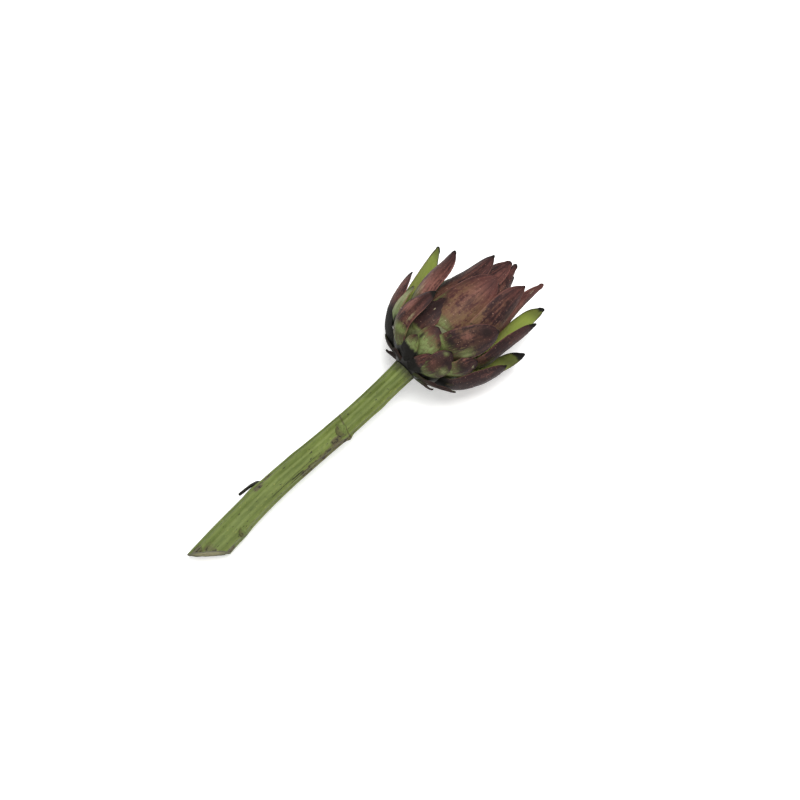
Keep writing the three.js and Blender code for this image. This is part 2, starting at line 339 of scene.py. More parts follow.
def bract_blade(index):
    """Everything that the blade formula needs for one bract of the spiral, in millimetres and radians."""
    inward = max(0, (index - BASAL_BRACTS + 1) / (BRACTS - BASAL_BRACTS))
    azimuth = FIRST_AZIMUTH - index * GOLDEN_ANGLE
    basal = index < BASAL_BRACTS
    if basal:
        ruled = (
            12 + 1.5 * chance(index, 3),
            28 + 2 * chance(index, 1),
            azimuth,
            10 + 2 * chance(index, 2),
            35,
            0,
        )
    else:
        ruled = (
            44 + 56 * inward**0.8 + 2.5 * chance(index, 1),
            42 - 38 * inward**1.3 + 1.5 * chance(index, 2),
            azimuth + 5 * chance(index, 3),
            mix(24, 17, inward),
            mix(4, -10, inward),
            4 * chance(index, 4),
        )
    tip_axial, tip_radius, tip_azimuth, width, lean, roll = STRAYS.get(index, ruled)
    tip_azimuth += 360 * math.floor((azimuth - tip_azimuth) / 360 + 0.5)
    root_axial = max(1, 1.5 + 0.3 * index) if basal else 4 + 58 * inward**1.15
    root_radius = bud_radius(root_axial) - ROOT_DEPTH
    if basal:
        belly = (root_axial + 1, mix(root_radius, tip_radius, 0.5))
    else:
        bulge = min(root_radius + mix(25, 9, inward**0.7), max(tip_radius, LEAST_BELLY))
        belly = (root_axial + mix(1, 14, inward), bulge)
    reach = SHOULDER_REACH * math.hypot(tip_axial - belly[0], tip_radius - belly[1])
    lean = math.radians(lean)
    shoulder = (tip_axial - reach * math.cos(lean), tip_radius - reach * math.sin(lean))
    stations = ((root_axial, root_radius), belly, shoulder, (tip_axial, tip_radius))
    points = []
    for (axial, radius), share in zip(stations, TURNED_BY):
        turned = mix(azimuth, tip_azimuth, share)
        points.append(head_point(axial, min(radius, floor_radius(axial, turned)), turned))
    root_cup = root_radius + ROOT_DEPTH
    return {
        "points": points,
        "sides": (head_side(azimuth), head_side(tip_azimuth)),
        "width": width,
        "thickness": (1.4 if basal else 3.6, 1.2),
        "cups": (root_cup, max(root_cup, 0.8 * belly[1]), TIP_CUP),
        "roll": math.radians(roll),
    }


blades = {index: bract_blade(index) for index in [*range(-NECK_LEAFLETS, BRACTS), *HEART_BRACTS]}
furthest = max(blade["points"][-1].x for blade in blades.values())
print(len(blades), "bracts, with tips up to", round(furthest), "mm along X")

# %% [markdown]
# Most of the shaded patches are painted shade, dark where a neighbour's shadow falls.
# No two bracts are coloured alike. They are green where they were shaded at the base and purple brown where
# the sun reached them. Some are rosier, some have tanned to olive, and the small ones round the neck have
# dried to brown black. These choices are given for the bracts that show most, each as a share, and
# the rest draw theirs. Some bracts also have patches of their own, where a neighbour shaded or rubbed them.
# A small hook bends some tips in or out, and some tips swerve to one side or end blunt.

# %% Colour and ageing of each bract
# green: how far up the green reaches. slant: how much further on the side of growing azimuth. rosy, olive
# and deep: how much of the purple is of that kind, and deep purple on the low front bracts is partly painted
# shade. dry: how far it has dried all over. stain: how much of its length, from the root, has gone black,
# from dried skin and from painted shade round the neck. scorch: the same from the tip.
ORDINARY = {
    "green": 0.2, "slant": 0.0, "rosy": 0.4, "olive": 0.2, "deep_and_shade": 0.3,
    "dry": 0.0, "stain_and_shade": -0.2, "scorch": 0.03,
}
# The low bracts at the front, such as 8, 11 and 18, get more deep purple: partly their own colour, partly
# painted shade.
OWN_LOOK = {
    -5: {"dry": 0.9},
    -4: {"dry": 0.95},
    -3: {"dry": 0.95},
    -2: {"dry": 0.9},
    -1: {"dry": 1.0},
    0: {"green": -0.2, "rosy": 0.3, "deep_and_shade": 0.6, "dry": 0.1, "stain_and_shade": 0.5},
    1: {"dry": 0.9},
    2: {"dry": 1.0},
    3: {"dry": 0.85},
    4: {"dry": 0.9},
    5: {"green": 0.85, "olive": 1.0, "rosy": 0.1, "stain_and_shade": 0.6},
    6: {"dry": 0.85},
    7: {"green": -0.3, "rosy": 0.5, "deep_and_shade": 0.5, "stain_and_shade": 0.55},
    8: {"green": 0.2, "rosy": 0.1, "olive": 0.15, "deep_and_shade": 0.9, "dry": 0.1, "stain_and_shade": 0.15},
    9: {"rosy": 0.3, "deep_and_shade": 0.6, "stain_and_shade": 0.4},
    10: {"green": 0.12, "slant": 0.1, "rosy": 0.35, "deep_and_shade": 0.6, "scorch": 0.08, "stain_and_shade": 0.02},
    11: {"green": 0.0, "rosy": 0.0, "olive": 0.0, "deep_and_shade": 1.0, "stain_and_shade": 0.25},
    12: {"stain_and_shade": 0.3},
    13: {"green": 0.6, "slant": 0.1, "olive": 1.0, "deep_and_shade": 0.45, "rosy": 0.1},
    14: {"stain_and_shade": 0.3},
    15: {"green": 1.2, "rosy": 0.7, "deep_and_shade": 0.0, "stain_and_shade": 0.24},
    16: {"green": 0.3, "rosy": 0.1, "olive": 0.6, "deep_and_shade": 0.9, "stain_and_shade": 0.1},
    17: {"stain_and_shade": 0.3},
    18: {"green": 0.05, "rosy": 0.1, "olive": 0.1, "deep_and_shade": 1.0},
    19: {"deep_and_shade": 0.5, "dry": 0.1, "scorch": 0.12},
    20: {"green": 0.3, "slant": 0.35, "rosy": 0.6, "deep_and_shade": 0.3},
    21: {"green": 0.1, "rosy": 0.15, "olive": 0.35, "deep_and_shade": 0.85},
    23: {"green": 0.28, "rosy": 0.5, "deep_and_shade": 0.4},
    24: {"green": 0.2, "slant": -0.1, "rosy": 0.15, "deep_and_shade": 0.8, "scorch": 0.06},
    26: {"green": 0.1, "slant": 0.2, "rosy": 0.45, "olive": 0.8, "deep_and_shade": 0.25, "scorch": -0.2},
    28: {"deep_and_shade": 0.5},
    29: {"green": 0.05, "rosy": 0.35, "olive": 0.9, "deep_and_shade": 0.5, "scorch": 0.0},
    31: {"green": 0.1, "rosy": 0.25, "deep_and_shade": 0.7, "scorch": 0.02},
    32: {"scorch": 0.06},
    37: {"green": 0.0, "rosy": 0.9, "deep_and_shade": 0.1, "scorch": -0.1},
    39: {"rosy": 0.45, "deep_and_shade": 0.5, "scorch": 0.0},
    42: {"rosy": 0.4, "deep_and_shade": 0.5},
}
# Patches on single bracts: the kind, the share of the length, the place over the width with 1 on the side
# of growing azimuth, how far the patch spreads each way, and its strength. Most shaded patches are painted
# shade where a neighbour's shadow falls, and a few are real dark spots and cracks.
PATCHES = {
    5: [("shaded", 0.9, 0.0, 0.18, 1.0, 0.5), ("bare", 0.5, 0.0, 0.12, 0.5, 0.5)],
    7: [("flushed", 0.8, 0.0, 0.15, 0.8, 0.5)],
    8: [
        ("shaded", 0.66, 0.0, 0.22, 0.9, 0.5),
        ("bare", 0.5, -0.6, 0.14, 0.5, 0.8),
        ("pale", 0.52, -0.6, 0.1, 0.3, 0.6),
        ("shaded", 0.72, -0.3, 0.08, 0.4, 0.8),
        ("bare", 0.88, 0.4, 0.08, 0.4, 0.7),
        ("flushed", 0.5, 0.6, 0.12, 0.3, 0.4),
    ],
    10: [
        ("bare", 0.3, -0.3, 0.09, 1.0, 1.0),
        ("flushed", 0.62, 0.4, 0.14, 0.4, 0.9),
        ("pale", 0.54, -0.65, 0.1, 0.16, 0.6),
        ("shaded", 0.74, -0.2, 0.14, 0.22, 0.7),
        ("shaded", 0.84, -0.9, 0.16, 0.25, 0.8),
    ],
    11: [("flushed", 0.74, 0.5, 0.12, 0.4, 0.4)],
    13: [
        ("shaded", 0.52, 0.62, 0.12, 0.16, 1.0),
        ("shaded", 0.62, -0.85, 0.1, 0.2, 0.9),
        ("shaded", 0.86, 0.0, 0.2, 1.2, 0.5),
        ("bare", 0.36, -0.1, 0.08, 0.6, 0.6),
    ],
    15: [("pale", 0.62, -0.2, 0.24, 1.2, 1.0)],
    16: [
        ("shaded", 0.5, 0.2, 0.14, 0.6, 0.8),
        ("pale", 0.8, -0.25, 0.06, 0.16, 0.8),
        ("flushed", 0.68, 0.7, 0.08, 0.3, 0.5),
    ],
    18: [
        ("shaded", 0.8, 0.1, 0.14, 0.7, 0.7),
        ("shaded", 0.5, 0.2, 0.2, 0.8, 0.55),
        ("bare", 0.2, -0.2, 0.05, 0.8, 0.8),
    ],
    21: [
        ("shaded", 0.27, 0.4, 0.06, 0.34, 1.0),
        ("shaded", 0.8, 0.35, 0.1, 0.4, 1.0),
        ("shaded", 0.66, 0.0, 0.25, 1.0, 0.35),
        ("bare", 0.42, -0.5, 0.16, 0.4, 0.8),
        ("bare", 0.15, 0.5, 0.05, 0.8, 0.9),
        ("flushed", 0.52, 0.5, 0.12, 0.3, 0.5),
    ],
    23: [
        ("flushed", 0.5, -0.3, 0.16, 0.7, 0.8),
        ("pale", 0.42, 0.1, 0.12, 0.5, 0.6),
        ("shaded", 0.85, -0.2, 0.14, 0.8, 0.4),
    ],
    26: [
        ("shaded", 0.39, 0.55, 0.08, 0.3, 0.7),
        ("bare", 0.2, -0.2, 0.08, 0.8, 0.7),
        ("flushed", 0.6, 0.0, 0.2, 0.4, 0.4),
        ("shaded", 0.92, -0.2, 0.12, 0.9, 0.4),
        ("shaded", 0.75, 0.8, 0.2, 0.2, 0.5),
    ],
    29: [("shaded", 0.76, 0.1, 0.03, 0.14, 1.0), ("shaded", 0.69, -0.6, 0.14, 0.3, 0.6)],
    37: [("pale", 0.84, 0.5, 0.1, 0.25, 0.4)],
}
PATCH_KINDS = ("shaded", "bare", "pale", "flushed")
TIP_HOOK = {7: 1.0, 10: -1.2, 19: 1.0, 20: 1.0, 21: -1.5, 23: 1.0, 24: 1.0, 31: 0.8, 32: 1.5}
TIP_SWERVE = {20: -1.0, 23: 0.8, 31: -2.0, 29: -1.0}
TIP_WIDTH = {7: 4.0, 19: 5.0, 20: 7.0, 23: 6.4, 24: 4.4, 31: 4.6, 32: 6.0, 37: 5.6, 39: 6.4}

# Each bract's number times this step sets its noise apart from the others' noise.
SEED_STEP = 0.37

for index, blade in blades.items():
    drawn = {
        "green": 0.22 + 0.12 * chance(index, 5),
        "slant": 0.15 * chance(index, 8),
        "rosy": 0.4 + 0.3 * chance(index, 9),
        "deep_and_shade": 0.3 + 0.25 * chance(index, 10),
    }
    blade.update({**ORDINARY, **drawn, **OWN_LOOK.get(index, {})})
    blade["seed"] = SEED_STEP * index
    blade["hook"] = TIP_HOOK.get(index, 0.8 * chance(index, 7))
    blade["swerve"] = TIP_SWERVE.get(index, 0.7 * chance(index, 11))
    blade["nub"] = TIP_WIDTH.get(index, 1.6 if index < BASAL_BRACTS else 3.6 + 0.6 * chance(index, 12))
print(sum(blade["dry"] > 0.4 for blade in blades.values()), "bracts have dried")

# %% [markdown]
# Every bract and every dried leaf stub is one kind of shape: a blade, swept along a curve, bent round like
# a tile, thick at the root and thin at the edges. So one Geometry Nodes tree makes them all. Each blade
# starts as a single point that carries its sizes as attributes. The tree puts a flat grid on every point
# and then moves each vertex of the grid to its place on the blade: one side of the grid runs from root to
# tip, and the other runs once round the blade's thin cross-section, so the finished blade is closed.

# %% Helpers for geometry trees


def new_tree(name, inputs):
    """A geometry tree with named inputs; returns it with its first and last nodes."""
    tree = bpy.data.node_groups.new(name, "GeometryNodeTree")
    tree.interface.new_socket("Geometry", in_out="INPUT", socket_type="NodeSocketGeometry")
    for label, kind in inputs.items():
        tree.interface.new_socket(label, in_out="INPUT", socket_type=kind)
    tree.interface.new_socket("Geometry", in_out="OUTPUT", socket_type="NodeSocketGeometry")
    return tree, tree.nodes.new("NodeGroupInput"), tree.nodes.new("NodeGroupOutput")


def attribute(tree, name, kind="FLOAT"):
    node = tree.nodes.new("GeometryNodeInputNamedAttribute")
    node.data_type = kind
    node.inputs["Name"].default_value = name
    return Field(node.outputs["Attribute"])


def store(tree, geometry, name, value, kind="FLOAT"):
    """Keeps a formula on the points under a name, and passes the geometry on."""
    node = tree.nodes.new("GeometryNodeStoreNamedAttribute")
    node.data_type, node.domain = kind, "POINT"
    node.inputs["Name"].default_value = name
    tree.links.new(geometry, node.inputs["Geometry"])
    wire(tree, value, node.inputs["Value"])
    return node.outputs["Geometry"]


def unit_grid(tree, along, around):
    """A grid from 0 to 1 both ways, as a geometry socket, with fields for the two directions."""
    grid = tree.nodes.new("GeometryNodeMeshGrid")
    grid.inputs["Size X"].default_value = grid.inputs["Size Y"].default_value = 1
    tree.links.new(along, grid.inputs["Vertices X"])
    tree.links.new(around, grid.inputs["Vertices Y"])
    x, y, _ = Field(tree.nodes.new("GeometryNodeInputPosition").outputs[0]).parts()
    return grid.outputs["Mesh"], x + 0.5, y + 0.5


WELD_DISTANCE = 0.002 * MM


def close_and_finish(tree, geometry, position, material, last):
    """Moves the grid to its shape, welds its seams, smooths it, and ends the tree."""
    move = tree.nodes.new("GeometryNodeSetPosition")
    tree.links.new(geometry, move.inputs["Geometry"])
    wire(tree, position, move.inputs["Position"])
    weld = tree.nodes.new("GeometryNodeMergeByDistance")
    weld.inputs["Distance"].default_value = WELD_DISTANCE
    smooth = tree.nodes.new("GeometryNodeSetShadeSmooth")
    real = tree.nodes.new("GeometryNodeRealizeInstances")
    paint = tree.nodes.new("GeometryNodeSetMaterial")
    tree.links.new(material, paint.inputs["Material"])
    for one, other in zip((move, weld, smooth, real, paint), (weld, smooth, real, paint, last)):
        tree.links.new(one.outputs["Geometry"], other.inputs["Geometry"])


def made_by(tree, source, name, **inputs):
    """Runs a tree on a source mesh with these inputs and returns the plain object that it makes."""
    source_object = bpy.data.objects.new(name, source)
    bpy.context.collection.objects.link(source_object)
    modifier = source_object.modifiers.new("grow", "NODES")
    modifier.node_group = tree
    for item in tree.interface.items_tree:
        if item.in_out == "INPUT" and item.name in inputs:
            modifier[item.identifier] = inputs[item.name]
    graph = bpy.context.evaluated_depsgraph_get()
    mesh = bpy.data.meshes.new_from_object(source_object.evaluated_get(graph), depsgraph=graph)
    source_object.modifiers.clear()
    source_object.data = mesh
    mesh.name = name
    triangles = sum(len(polygon.vertices) - 2 for polygon in mesh.polygons)
    print(name, "has", triangles, "triangles")
    return source_object


# %% [markdown]
# The blade formula. `along` runs from 0 at the root to 1 at the tip, packed closer near the tip where the
# outline turns fast. `across` runs from -1 to 1 over the width, and `face` is 1 on the outer face and -1 on
# the inner one. The curve is a cubic Bezier curve through the root and the tip. The keel down the middle,
# the low ribs beside it and the uneven edges are added on top, each a fraction of a millimetre to a
# millimetre high.

# %% The tree that grows blades
# The share of a blade's length that its body takes. The rest is the dry point at the tip.
BODY_SHARE = 0.985

blade_tree, first, last = new_tree(
    "Blades",
    {
        "Rings": "NodeSocketInt",
        "Points around": "NodeSocketInt",
        "Edge thickness": "NodeSocketFloat",
        "Keel height": "NodeSocketFloat",
        "Rib height": "NodeSocketFloat",
        "Unevenness": "NodeSocketFloat",
        "Material": "NodeSocketMaterial",
    },
)
tree = blade_tree
mesh, lengthwise, round_section = unit_grid(tree, first.outputs["Rings"], first.outputs["Points around"])
mesh = store(tree, mesh, "along", 1.0 - (1.0 - lengthwise) ** 1.35)
mesh = store(tree, mesh, "round", round_section * (2 * math.pi))
place_on = tree.nodes.new("GeometryNodeInstanceOnPoints")
tree.links.new(first.outputs["Geometry"], place_on.inputs["Points"])
tree.links.new(mesh, place_on.inputs["Instance"])
separate = tree.nodes.new("GeometryNodeRealizeInstances")
tree.links.new(place_on.outputs["Instances"], separate.inputs["Geometry"])

along = attribute(tree, "along")
around = attribute(tree, "round")
root, belly, shoulder, tip, side_root, side_tip = (
    attribute(tree, name, "FLOAT_VECTOR")
    for name in ("root", "belly", "shoulder", "tip", "side_root", "side_tip")
)
width, thick_root, thick_tip, cup_root, cup_belly, cup_tip, length = (
    attribute(tree, name)
    for name in ("width", "thick_root", "thick_tip", "cup_root", "cup_belly", "cup_tip", "length")
)
roll, seed, hook, swerve, nub = (attribute(tree, name) for name in ("roll", "seed", "hook", "swerve", "nub"))

back = 1.0 - along
middle = (
    root * (back * back * back)
    + belly * (3.0 * back * back * along)
    + shoulder * (3.0 * back * along * along)
    + tip * (along * along * along)
)
heading = (
    (belly - root) * (back * back)
    + (shoulder - belly) * (2.0 * back * along)
    + (tip - shoulder) * (along * along)
).unit()
side = side_root * back + side_tip * along
side = (side - heading * side.dot(heading)).unit()
rolled = roll * along
side = side * rolled.cos() + heading.cross(side) * rolled.sin()
outward = heading.cross(side)

across = around.cos()
lift = around.sin()
face = lift.number("SIGN") * lift.abs() ** 0.6
swell = 0.8 + 0.2 * ((along / 0.4).least(1.0) * (math.pi / 2)).sin()
taper = (1.0 - ((along / BODY_SHARE - 0.4) / 0.6).most(0.0).least(1.0) ** 2.7) ** 0.64
root_close = (along / 0.02).least(1.0)
tip_close = ((1.0 - along) / 0.03).least(1.0) ** 0.5
body_width = width * 0.5 * swell * taper
half_width = body_width.most(nub * 0.5 * tip_close) * root_close
thick_middle = thick_root * back + thick_tip * along
thickness = thick_middle + (Field(first.outputs["Edge thickness"]) - thick_middle) * across * across
half_thick = face * thickness * 0.5 * root_close * tip_close
cup = cup_root + (cup_belly - cup_root) * (along / 0.3).least(1.0)
cup = cup + (cup_tip - cup_belly) * ((along - 0.3) / 0.7).most(0.0)
bend = across * half_width / cup
spread = (cup + half_thick) * bend.sin()
drop = cup - (cup + half_thick) * bend.cos()

blade_mm = joined(tree, across * width * 0.5, along * length, seed)
keel = Field(first.outputs["Keel height"]) * (-(across * across) / 0.02).exp() * (1.0 - along) * root_close
ribs = Field(first.outputs["Rib height"]) * (across * 21.0).cos() * (along / 0.2).least(1.0)
rough = Field(first.outputs["Unevenness"]) * (noise(blade_mm, 90, detail=3.0) - 0.5) * 2.4
edge_wave = Field(first.outputs["Unevenness"]) * across * across * (along * 11.0 + seed * 9.0).sin()
bent = ((along - 0.8) / 0.2).most(0.0)
relief = keel + ribs + (rough + edge_wave) * (along / 0.25).least(1.0) + hook * bent * bent
position = middle + side * (spread + swerve * bent * bent) + outward * (relief - drop)
x, y, z = position.parts()
position = joined(tree, x, y, z.most(0.0))

mesh = store(tree, separate.outputs["Geometry"], "across", across)
mesh = store(tree, mesh, "face", lift)
mesh = store(tree, mesh, "blade_mm", blade_mm, "FLOAT_VECTOR")
close_and_finish(tree, mesh, position, first.outputs["Material"], last)
print("blade tree has", len(tree.nodes), "nodes")

# %% [markdown]
# A bract's skin is close to leather: a purple brown film over green flesh. The film is streaked along the
# bract, because the veins run that way, and it thins out to green at the base. Small dark flecks, pale
# scratches, a dark dry tip and a thin brown edge finish it. The inner face never saw the sun, so it stays
# yellow green. All of this is drawn on the blade's own coordinates, in true size, so the streaks follow
# each bract wherever it points.

# %% Helpers for materials


def colour(red, green, blue):
    """A colour as picked on a screen, 0 to 255, brought to the linear values that Blender works in."""
    shares = [channel / 255 for channel in (red, green, blue)]
    linear = [c / 12.92 if c <= 0.04 else ((c + 0.055) / 1.055) ** 2.4 for c in shares]
    return (*linear, 1)


def blend(factor, low, high):
    """From colour `low` to colour `high` as the factor goes from 0 to 1."""
    node = factor.tree.nodes.new("ShaderNodeMix")
    node.data_type = "RGBA"
    low_socket, high_socket = (socket for socket in node.inputs if socket.type == "RGBA")
    wire(factor.tree, factor, node.inputs["Factor"])
    wire(factor.tree, low, low_socket)
    wire(factor.tree, high, high_socket)
    return Field(next(socket for socket in node.outputs if socket.type == "RGBA"))


def looks(name, roughness, specular=0.35):
    """A new material; returns it with its tree and its surface shader."""
    material = bpy.data.materials.new(name)
    material.use_nodes = True
    shader = material.node_tree.nodes["Principled BSDF"]
    shader.inputs["Roughness"].default_value = roughness
    shader.inputs["Specular IOR Level"].default_value = specular
    return material, material.node_tree, shader


def painted(tree, name, kind="Fac"):
    """An attribute of the mesh, read in a material."""
    node = tree.nodes.new("ShaderNodeAttribute")
    node.attribute_name = name
    return Field(node.outputs[kind])


def raised(shader, height, depth, strength=1.0):
    """Gives the surface a fine relief, `depth` metres deep, from a height between 0 and 1."""
    node = shader.id_data.nodes.new("ShaderNodeBump")
    node.inputs["Distance"].default_value = depth
    node.inputs["Strength"].default_value = strength
    wire(shader.id_data, height, node.inputs["Height"])
    shader.id_data.links.new(node.outputs["Normal"], shader.inputs["Normal"])


# %% Bract skin
MAROON = colour(73, 41, 37)
ROSE = colour(122, 76, 69)
DEEP_PURPLE = colour(34, 19, 20)
OLIVE_TAN = colour(102, 80, 54)
DULL_OLIVE = colour(72, 68, 40)
BASE_GREEN = colour(90, 102, 54)
PALE_GREEN = colour(110, 122, 76)
INNER_GREEN = colour(124, 138, 56)
INNER_YELLOW = colour(158, 164, 82)
FLUSH = colour(128, 84, 75)
BLEACHED = colour(138, 138, 104)
DEEP_SHADE = colour(26, 16, 16)
PALE_SPECK = colour(160, 126, 108)
PALE_SCAR = colour(170, 160, 132)
DRY_AND_SHADE_BLACK = colour(17, 15, 12)
DRY_BROWN = colour(48, 36, 26)

bract_skin, tree, shader = looks("bract skin", 0.5, specular=0.14)
along, across, face = painted(tree, "along"), painted(tree, "across"), painted(tree, "face")
green, slant, rosy = painted(tree, "green"), painted(tree, "slant"), painted(tree, "rosy")
olive, deep_and_shade, dry = painted(tree, "olive"), painted(tree, "deep_and_shade"), painted(tree, "dry")
stain_and_shade, scorch = painted(tree, "stain_and_shade"), painted(tree, "scorch")
shaded, bare, pale, flushed = (painted(tree, kind) for kind in PATCH_KINDS)
blade_mm = painted(tree, "blade_mm", "Vector")
x, y, z = blade_mm.parts()
veins = noise(joined(tree, x, y * 0.05, z), 1500, detail=3.0)
streaks = noise(joined(tree, x, y * 0.1, z), 620, detail=5.0)
clouds = noise(joined(tree, x, y * 0.45, z), 90, detail=4.0)
mottle = noise(blade_mm, 480, detail=5.0, roughness=0.65)
blotches = noise(joined(tree, x, y * 0.5, z + 5.0), 120, detail=4.0)
specks = noise(blade_mm, 1500, detail=2.0)
pale_specks = noise(joined(tree, x, y * 0.6, z + 9.0), 1100, detail=1.0)
scars = noise(joined(tree, x, y * 0.4, z + 7.0), 260, detail=1.0)
scratches = noise(joined(tree, x, y * 0.12, z + 3.0), 900, detail=1.0)

broken = (clouds - 0.5) * 0.7 + (streaks - 0.5) * 1.0 + (mottle - 0.5) * 1.0
# The deep purple share is the bract's own colour, and on the low bracts at the front it is also painted
# shade.
depth = clouds * 0.6 + streaks * 0.25 + mottle * 0.15 - (deep_and_shade - 0.3) * 0.3
purple = blend(depth.ease(0.3, 0.6), DEEP_PURPLE, MAROON)
rosiness = (streaks * 0.5 + mottle * 0.25 + clouds * 0.25).ease(0.42, 0.66) * (0.1 + rosy * 0.8)
purple = blend(rosiness, purple, ROSE)
tanned = (clouds + (mottle - 0.5) * 0.6 + (streaks - 0.5) * 0.4).ease(0.4, 0.66)
tanned = tanned * (1.0 - along).ease(0.1, 0.55)
purple = blend(tanned * olive, purple, OLIVE_TAN)
purple = blend((flushed + broken).ease(0.1, 1.0) * flushed.ease(0.0, 0.3) * 0.75, purple, FLUSH)
purple = blend((blotches + (streaks - 0.5) * 0.3).ease(0.56, 0.72) * 0.6, purple, DEEP_PURPLE)
base_green = blend(clouds.ease(0.35, 0.65), BASE_GREEN, PALE_GREEN)
base_green = blend(mottle.ease(0.45, 0.7) * 0.6, base_green, DULL_OLIVE)
reach = along + (clouds - 0.5) * 0.6 + (streaks - 0.5) * 0.6 + (mottle - 0.5) * 0.3 - across * slant
film = (reach - green).ease(-0.16, 0.2) * (1.0 - (bare + broken * 0.8).ease(0.15, 0.85) * bare.ease(0.0, 0.3))
outer = blend(film, base_green, purple)
outer = blend(film * (1.0 - film) * 2.0, outer, DULL_OLIVE)
outer = blend(veins.ease(0.5, 0.75) * 0.35, outer, DEEP_PURPLE)
outer = blend(scratches.ease(0.7, 0.76) * 0.4, outer, ROSE)
outer = blend(pale_specks.ease(0.66, 0.74) * 0.45, outer, PALE_SPECK)
outer = blend(specks.ease(0.66, 0.74) * 0.6, outer, DRY_BROWN)
outer = blend(scars.ease(0.78, 0.81) * 0.6, outer, PALE_SCAR)
outer = blend((pale + broken).ease(0.2, 1.0) * pale.ease(0.0, 0.3) * 0.75, outer, BLEACHED)
# Painted shade: shaded patches darken to near black where a neighbour's shadow falls; a few mark real dark
# spots and cracks.
outer = blend((shaded + broken * 0.7).ease(0.1, 0.9) * shaded.ease(0.0, 0.3) * 0.85, outer, DEEP_SHADE)

inner = blend(clouds.ease(0.3, 0.65) * (1.0 - along).ease(0.05, 0.7), INNER_GREEN, INNER_YELLOW)
inner = blend(veins.ease(0.5, 0.8) * 0.35, inner, BASE_GREEN)
flush = (along * 0.7 + across.abs() * 0.45 + (clouds - 0.5) * 0.4).ease(0.88, 1.1)
inner = blend(flush * 0.85, inner, DRY_BROWN)
skin = blend(face.ease(-0.12, 0.12), inner, outer)

edge = (across.abs() + (mottle - 0.5) * 0.12).ease(0.9, 0.98) * along.ease(0.15, 0.4)
skin = blend(edge * (0.2 + rosy * 0.6), skin, blend(face.ease(-0.3, 0.3), DEEP_PURPLE, ROSE))
skin = blend((along + scorch * 2.0 - 0.88).ease(0.0, 0.14) * 0.55, skin, DEEP_PURPLE)
rough_edge = (clouds - 0.5) * 0.3 + (streaks - 0.5) * 0.2
black = (along + scorch - 1.0 + (clouds - 0.5) * 0.1 + (mottle - 0.5) * 0.06).ease(-0.03, 0.02)
# Painted black from the root up: dried skin, and painted shade on the bracts round the neck.
black = black.most((stain_and_shade + rough_edge - along).ease(-0.06, 0.06))
black = black.most((dry * (0.85 + (clouds - 0.5) * 0.9)).least(1.0))
skin = blend(black, skin, DRY_AND_SHADE_BLACK)
tree.links.new(skin.socket, shader.inputs["Base Color"])
gloss = 0.5 + mottle * 0.2 + black * 0.2
tree.links.new(gloss.socket, shader.inputs["Roughness"])
raised(shader, streaks * 0.5 + veins * 0.2 + mottle * 0.3, 0.0006, 0.8)
print("bract skin has", len(tree.nodes), "nodes")

# %% [markdown]
# Now the points that the blades grow from. Each point carries one blade's sizes. After the tree has run,
# only the attributes that the skin reads are kept.

# %% Grow the bracts
SKIN_READS = {"along", "across", "face", "blade_mm", *ORDINARY, *PATCH_KINDS}
BUILT_IN = {"position", "sharp_face", "material_index", ".edge_verts", ".corner_vert", ".corner_edge"}


# A blade's curve is a little shorter than the steps between its steering points.
CURVE_SHARE = 0.95


def blade_points(name, chosen):
    """A mesh of loose points, one for each blade, with the blade's sizes as attributes in metres."""
    points = bpy.data.meshes.new(name + "_points")
    points.from_pydata([tuple(blade["points"][0] * MM) for blade in chosen], [], [])

    def numbers(label, values):
        made = points.attributes.new(label, "FLOAT", "POINT")
        made.data.foreach_set("value", values)

    def vectors(label, values):
        made = points.attributes.new(label, "FLOAT_VECTOR", "POINT")
        made.data.foreach_set("vector", [number for value in values for number in value])

    for place, label in enumerate(("root", "belly", "shoulder", "tip")):
        vectors(label, [blade["points"][place] * MM for blade in chosen])
    for place, label in enumerate(("side_root", "side_tip")):
        vectors(label, [blade["sides"][place] for blade in chosen])
    for place, label in enumerate(("thick_root", "thick_tip")):
        numbers(label, [blade["thickness"][place] * MM for blade in chosen])
    for place, label in enumerate(("cup_root", "cup_belly", "cup_tip")):
        numbers(label, [blade["cups"][place] * MM for blade in chosen])
    for label in ("width", "hook", "swerve", "nub"):
        numbers(label, [blade[label] * MM for blade in chosen])
    for label in ("roll", "seed", *ORDINARY):
        numbers(label, [blade[label] for blade in chosen])
    spans = [blade["points"] for blade in chosen]
    numbers("length", [sum((b - a).length for a, b in zip(p, p[1:])) * CURVE_SHARE * MM for p in spans])
    return points


def paint_patches(mesh):
    """Keeps on each vertex how strongly every kind of patch shows there."""
    count = len(mesh.vertices)
    along, across, places = [0.0] * count, [0.0] * count, [0.0] * (3 * count)
    mesh.attributes["along"].data.foreach_get("value", along)
    mesh.attributes["across"].data.foreach_get("value", across)
    mesh.attributes["blade_mm"].data.foreach_get("vector", places)
    strengths = {kind: [0.0] * count for kind in PATCH_KINDS}
    for vertex in range(count):
        index = round(places[3 * vertex + 2] / SEED_STEP)
        for kind, middle, side, half_length, half_width, strength in PATCHES.get(index, ()):
            off = ((along[vertex] - middle) / half_length) ** 2 + ((across[vertex] - side) / half_width) ** 2
            strengths[kind][vertex] = max(strengths[kind][vertex], strength * math.exp(-off))
    for kind, values in strengths.items():
        mesh.attributes.new(kind, "FLOAT", "POINT").data.foreach_set("value", values)


def grow_blades(name, chosen, material, rings=52, around=37, keel=0.5, rib=0.1, uneven=0.5):
    piece = made_by(
        blade_tree,
        blade_points(name, chosen),
        name,
        **{
            "Rings": rings,
            "Points around": around,
            "Edge thickness": 0.5 * MM,
            "Keel height": keel * MM,
            "Rib height": rib * MM,
            "Unevenness": uneven * MM,
            "Material": material,
        },
    )
    paint_patches(piece.data)
    for spare in [a.name for a in piece.data.attributes if a.name not in SKIN_READS | BUILT_IN]:
        if not piece.data.attributes[spare].is_required:
            piece.data.attributes.remove(piece.data.attributes[spare])
    return piece


